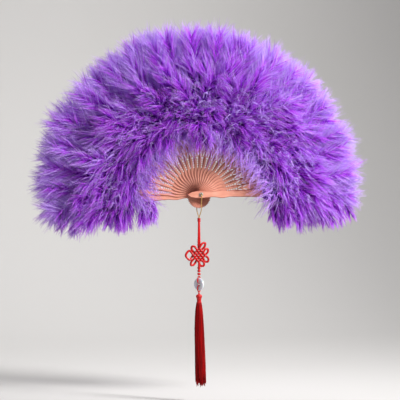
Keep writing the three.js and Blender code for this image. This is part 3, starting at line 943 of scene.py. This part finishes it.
# One plume: a bent quill, and barbs in clumps that leave it on both sides and bend towards its tip
def growPlume(rng, row, side, lean, down):
    root = np.array([rng.uniform(*row["root"]), side * quillWays["off"], rng.normal(0, quillWays["aside"])])
    lift = math.radians(rng.uniform(*row["lift"])) * side
    swing = math.radians(lean + rng.normal(0, row["stray"]))
    first = np.array([math.cos(lift) * math.cos(swing), math.sin(lift), math.cos(lift) * math.sin(swing)])
    sag = down * row["sag"] * rng.uniform(*quillWays["sag"])
    last = unit(first * quillWays["flatten"] + sag + rng.normal(0, quillWays["wander"], 3))
    reach = rng.uniform(*row["reach"])
    face = unit(np.array([0.0, side, 0.0]) + rng.normal(0, quillWays["face"], 3))

    ways = barbWays
    clumps = row["barbs"] // plumes["clump"]
    clump = np.repeat(np.arange(clumps), plumes["clump"])
    count = len(clump)
    loose = row["loose"]
    station = rng.uniform(ways["lowest"], 1.0, clumps)[clump] ** ways["crowd"]
    station = np.clip(station + rng.normal(0, ways["shift"] * loose, count), ways["lowest"], 1.0)
    tangent = unit(first + (last - first) * station[:, None])
    across = unit(np.cross(tangent, face))
    outward = np.cross(across, tangent)
    sign = np.where(rng.random(clumps) < 0.5, -1.0, 1.0)[clump][:, None]
    roll = clumped(rng, clump, row["roll"], ways["roll"] * loose)[:, None]
    wide, narrow = row["open"]
    opening = wide + (narrow - wide) * station
    opening = opening + clumped(rng, clump, ways["clumpOpen"], ways["open"] * loose)
    opening = np.radians(opening)[:, None]
    aside = across * sign * np.cos(roll) + outward * np.sin(roll)
    leaving = tangent * np.cos(opening) + aside * np.sin(opening)
    sway = clumped(rng, clump, row["sway"], ways["sway"] * loose, 3)
    flow = rng.normal(0, row["flow"], 3)
    fall = down * row["sag"] * ways["fall"]
    settling = unit(tangent * row["comb"] + leaving * ways["keep"] + fall + flow + sway)
    fullness = np.sin(math.pi * (ways["rootFull"] + ways["fullRun"] * station))
    length = row["barb"] * (ways["shortest"] + (1 - ways["shortest"]) * fullness)
    length = length * rng.uniform(*ways["clumpLength"], clumps)[clump] * rng.uniform(*ways["length"], count)

    t = np.linspace(0, 1, plumes["points"])[None, :, None]
    starts = bend(root, first, last, reach, station[:, None])
    lines = bend(starts[:, None], leaving[:, None], settling[:, None], length[:, None, None], t)
    phase = rng.uniform(0, 2 * math.pi, clumps)[clump][:, None, None]
    waves = (rng.uniform(*ways["waves"], clumps)[clump] * 2 * math.pi)[:, None, None]
    turn = waves * t + phase
    curl = row["curl"] * rng.uniform(*ways["curl"], clumps)[clump][:, None, None]
    lines += curl * t * (np.cos(turn) * across[:, None] + np.sin(turn) * outward[:, None])
    # painted sheen: a share of the clumps is made paler
    pale = np.where(rng.random(clumps) < ways["paleShare"], ways["pale"], 0.0)[clump]
    tone = rng.normal(0, ways["plumeTone"]) + pale + clumped(rng, clump, ways["clumpTone"], ways["tone"])
    # painted shade: each barb darkens towards its root, where it lies deep among the others. It pales towards
    # its tip and the far end of the quill, partly the thin tips' own paleness and partly painted light
    shade = row["shade"] + tone[:, None] + ways["tipShade"] * t[..., 0] + ways["farShade"] * station[:, None]
    quill = bend(root, first, last, reach, t[0])[None]
    shade = np.concatenate([shade, np.full((1, plumes["points"]), quillWays["shade"])])
    taper = np.linspace(1, plumes["tipShare"], plumes["points"]) * row["width"]
    return np.concatenate([lines, quill]), shade, np.broadcast_to(taper, shade.shape)


# Loose strands that leave the down and curl: wisps over the pierced wood, and pale curls among the plumes.
# Each is three barbs long, end to end
def growStrands(rng, row, side, down):
    ways = strandWays
    clumps = row["count"] // row["clump"]
    clump = np.repeat(np.arange(clumps), row["clump"])
    count = len(clump)

    def strewn(along, out, aside, within):
        return np.stack([along, out, aside], 1)[clump] + rng.normal(0, within, (count, 3))

    root = strewn(rng.uniform(*row["root"], clumps), side * rng.uniform(*row["depth"], clumps),
                  rng.normal(0, ways["aside"], clumps), ways["apart"])
    first = strewn(rng.uniform(*row["ahead"], clumps), side * rng.uniform(*ways["out"], clumps),
                   rng.normal(0, ways["stray"], clumps), ways["within"])
    last = strewn(rng.uniform(*row["over"], clumps), np.full(clumps, side * ways["lift"]),
                  rng.normal(0, ways["wander"], clumps), ways["within"]) + down * ways["fall"]
    length = rng.uniform(*row["strand"], count)[:, None, None]
    third = plumes["points"] - 1
    t = np.linspace(0, 1, 3 * third + 1)[None, :, None]
    lines = bend(root[:, None], unit(first)[:, None], unit(last)[:, None], length, t)
    turn = rng.uniform(0, 2 * math.pi, clumps)[clump][:, None, None] + 2 * math.pi * t * row["turns"]
    one, other = np.array(ways["coil"])
    lines += row["curl"] * t * (np.cos(turn) * one + np.sin(turn) * other)
    shade = row["shade"] + rng.normal(0, ways["tone"], count)[:, None] + ways["tipShade"] * t[..., 0]
    taper = np.broadcast_to(np.linspace(1, plumes["tipShare"], t.size), shade.shape)
    cuts = [slice(at, at + plumes["points"]) for at in (0, third, 2 * third)]
    return [np.concatenate([values[:, cut] for cut in cuts]) for values in (lines, shade, taper)]


# Flat tapering barbs, each turned its own way about its line
def barbShape(lines, taper, turns):
    count, steps = lines.shape[:2]
    tangents = unit(np.gradient(lines, axis=1))
    level = unit(np.cross(tangents, (0.0, 1.0, 0.02)))
    upright = np.cross(tangents, level)
    across = level * np.cos(turns)[:, None, None] + upright * np.sin(turns)[:, None, None]
    half = across * taper[..., None] * plumes["barbWidth"] * mm / 2
    points = np.stack([lines - half, lines + half], 2).reshape(-1, 3)
    barb, step = np.meshgrid(np.arange(count), np.arange(steps - 1), indexing="ij")
    corner = (barb * steps + step).ravel() * 2
    return points, [np.stack([corner, corner + 1, corner + 3, corner + 2], 1)]


# Gives each barb its own cell of the map, so that its colours can be kept as a picture
def mapBarbs(mesh, count, steps):
    tallness, sides, ends = 6, (0.15, 0.85), (0.05, 0.95)  # of a cell, and the part of it that a barb fills
    columns = math.ceil(math.sqrt(count * tallness))
    rows = math.ceil(count / columns)
    barb = np.arange(count)
    u = (barb % columns)[:, None, None] + np.array(sides)[None, None, :]
    v = (barb // columns)[:, None, None] + np.linspace(*ends, steps)[None, :, None]
    u, v = np.broadcast_arrays(u / columns, v / rows)
    points = np.stack([u, v], -1).reshape(-1, 2)
    corners = np.zeros(len(mesh.loops), np.int32)
    mesh.loops.foreach_get("vertex_index", corners)
    mesh.uv_layers.new(name="OFBake").data.foreach_set("uv", points[corners].astype(np.float32).ravel())


# The packed down round the stick, under the loose barbs, dark as painted shade in the gaps among them.
# At a guard it also hangs past it
def massShape(stick, along, across):
    mass = plumes["mass"]
    stations = smoothPath(mass["profile"], 3)
    turns = fullTurn(mass["sides"])
    reach, thick = stations[:, :1], stations[:, 1:2]
    half = reach * math.tan(math.radians(stickTurns[stickOrder[1]] / 2))
    beside = half * np.cos(turns)
    if stick.endswith("guard"):
        below = -math.copysign(1, across[2]) * np.cos(turns)
        beside = np.where(below > 0, np.cos(turns) * (half + mass["hang"] * stations[:, 2:]), beside)
    points = reach[..., None] * along + beside[..., None] * across
    points = points + (thick * np.sin(turns))[..., None] * (0, 1, 0) + np.array([0, layerOf(stick) / mm, 0])
    return points.reshape(-1, 3) * mm, [ringQuads(len(stations), len(turns))]


def addPlumes(rng, stick):
    turn = turnOf(stick)
    along = np.array([math.cos(turn), 0, math.sin(turn)])
    across = np.array([-math.sin(turn), 0, math.cos(turn)])
    down = np.array([-along[2], 0, -across[2]])
    grown = []
    for side in (-1, 1):
        for row in plumes["rows"]:
            for number in range(row["count"]):
                lean = row["fan"] * ((number + 0.5) / row["count"] - 0.5)
                grown.append(growPlume(rng, row, side, lean, down))
        for row in (plumes["wisps"], plumes["curls"]):
            grown.append(growStrands(rng, row, side, down))
        if stick.endswith("guard"):
            row = plumes["hanging"]
            roots = np.linspace(*row["root"][stick], row["count"] + 1)
            leans = np.linspace(*row["lean"][stick], row["count"])
            for start, end, lean in zip(roots, roots[1:], leans):
                hung = {**row, "root": (start, end), "reach": row["reach"][stick]}
                grown.append(growPlume(rng, hung, side, math.copysign(lean, down[2]), down))
    lines, shade, taper = [np.concatenate(values) for values in zip(*grown)]
    bare = plumes["bare"]
    pull = bare["all"] + bare["front"] * max(0, 1 - stickOrder.index(stick) / bare["sticks"])
    lines[..., 0] += pull * np.clip((bare["from"] - lines[..., 0]) / bare["over"], 0, 1)
    crown = plumes["crown"]
    rise = crown["rise"] * along[2] + rng.normal(0, crown["ragged"])
    lines[..., 0] += rise * np.clip((lines[..., 0] - crown["from"]) / crown["over"], 0, 1)
    lines = lines[..., :1] * along + lines[..., 1:2] * (0, 1, 0) + lines[..., 2:] * across
    lines[..., 1] += layerOf(stick) / mm
    lines[..., 1] = plumes["depth"] * np.tanh(lines[..., 1] / plumes["depth"])
    name = plumeNames[stick]
    mesh = newMesh(name + "_down", barbShape(lines * mm, taper, rng.uniform(0, math.pi, len(lines))))
    tones = np.repeat(np.clip(shade, 0, 1)[..., None], 2, axis=2).astype(np.float32)
    mesh.attributes.new("shade", "FLOAT", "POINT").data.foreach_set("value", tones.ravel())
    mapBarbs(mesh, len(lines), plumes["points"])
    loose = addPiece(name + "_down", mesh, marabou, stick, "marabou", [name])
    # the packed down, dark as painted shade under the loose barbs
    packed = addShape(name + "_mass", massShape(stick, along, across), underdownInShade, stick, "marabou")
    for piece in (loose, packed):
        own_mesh(piece)
    return len(lines)


plumeRandom = np.random.default_rng(plumes["seed"])
barbs = sum(addPlumes(plumeRandom, stick) for stick in stickOrder)
print("plumes grown:", barbs, "barbs")

# Stage: a pale sweep with a lamp of its own, a small key light from the right, a weak fill from the left and
# a broad light from above and behind

stage = {
    "below": 0.03,
    "back": 1.1,
    "front": 1.2,
    "width": 3.4,
    "rise": 3.5,
    "bend": 0.8,
    "colour": "#cdcbc9",
}
lamps = [
    {"name": "key", "spot": (1.0, -0.9, 0.8), "aim": (0.16, 0, 0.08), "size": 0.34, "spread": 70, "power": 6},
    {"name": "fill", "spot": (-1.8, -1.6, 0.5), "aim": (0, 0, 0.06), "size": 1.6, "spread": 180, "power": 1},
    {"name": "top", "spot": (0.3, 0.6, 1.7), "aim": (0, 0, 0.06), "size": 1.2, "spread": 180, "power": 30},
    {"name": "backdrop", "spot": (0, 0.6, 1.5), "aim": (0, 1.9, 0.3), "size": 0.8, "spread": 90, "power": 4},
]
# the world lights the fan at its strength, and is seen as pale as the sweep
world = {"colour": "#f4f4f6", "strength": 0.17, "seen": 0.6}


def addStage():
    material, tree = newMaterial("pale paper sweep")
    shader = addNode(tree, "BsdfPrincipled",
                     {"Base Color": linear(stage["colour"]), "Roughness": 0.9, "Specular IOR Level": 0.1})
    # open from behind, so that the sweep never hides the fan's back
    clear = addNode(tree, "BsdfTransparent")
    behind = addNode(tree, "NewGeometry").outputs["Backfacing"]
    sided = addNode(tree, "MixShader", links={"Fac": behind, 1: shader, 2: clear})
    addNode(tree, "OutputMaterial", links={"Surface": sided})
    floor = cadLow.z - stage["below"]
    curve = [(stage["back"] + stage["bend"] * math.sin(turn), floor + stage["bend"] * (1 - math.cos(turn)))
             for turn in np.linspace(0, math.pi / 2, 13)]
    line = [(-stage["front"], floor), *curve, (stage["back"] + stage["bend"], floor + stage["rise"])]
    points = np.array([(x, y, z) for y, z in line for x in (-stage["width"] / 2, stage["width"] / 2)])
    at = np.arange(len(line) - 1) * 2
    mesh = newMesh("pale_sweep", (points, [np.stack([at, at + 1, at + 3, at + 2], 1)]))
    mesh.materials.append(material)
    sweep = bpy.data.objects.new("pale_sweep", mesh)
    scene.collection.objects.link(sweep)


def addLight():
    for lamp in lamps:
        data = bpy.data.lights.new(lamp["name"], "AREA")
        data.size = lamp["size"]
        data.spread = math.radians(lamp["spread"])
        data.energy = lamp["power"]
        light = bpy.data.objects.new(lamp["name"], data)
        light.location = lamp["spot"]
        light.rotation_euler = (Vector(lamp["aim"]) - light.location).to_track_quat("-Z", "Y").to_euler()
        scene.collection.objects.link(light)
    scene.world = bpy.data.worlds.new("studio")
    scene.world.use_nodes = True
    tree = scene.world.node_tree
    tree.nodes.clear()
    ray = addNode(tree, "LightPath").outputs
    shining = addNode(tree, "Math", {"operation": "MAXIMUM"},
                      {0: ray["Is Glossy Ray"], 1: ray["Is Transmission Ray"]})
    seen = addNode(tree, "Math", {"operation": "MAXIMUM"}, {0: ray["Is Camera Ray"], 1: shining})
    strength = addNode(tree, "MapRange", {"To Min": world["strength"], "To Max": world["seen"]},
                       {"Value": seen})
    background = addNode(tree, "Background", {"Color": linear(world["colour"])}, {"Strength": strength})
    addNode(tree, "OutputWorld", links={"Surface": background})


addStage()
addLight()
print("stage lit:", len(lamps), "lamps")
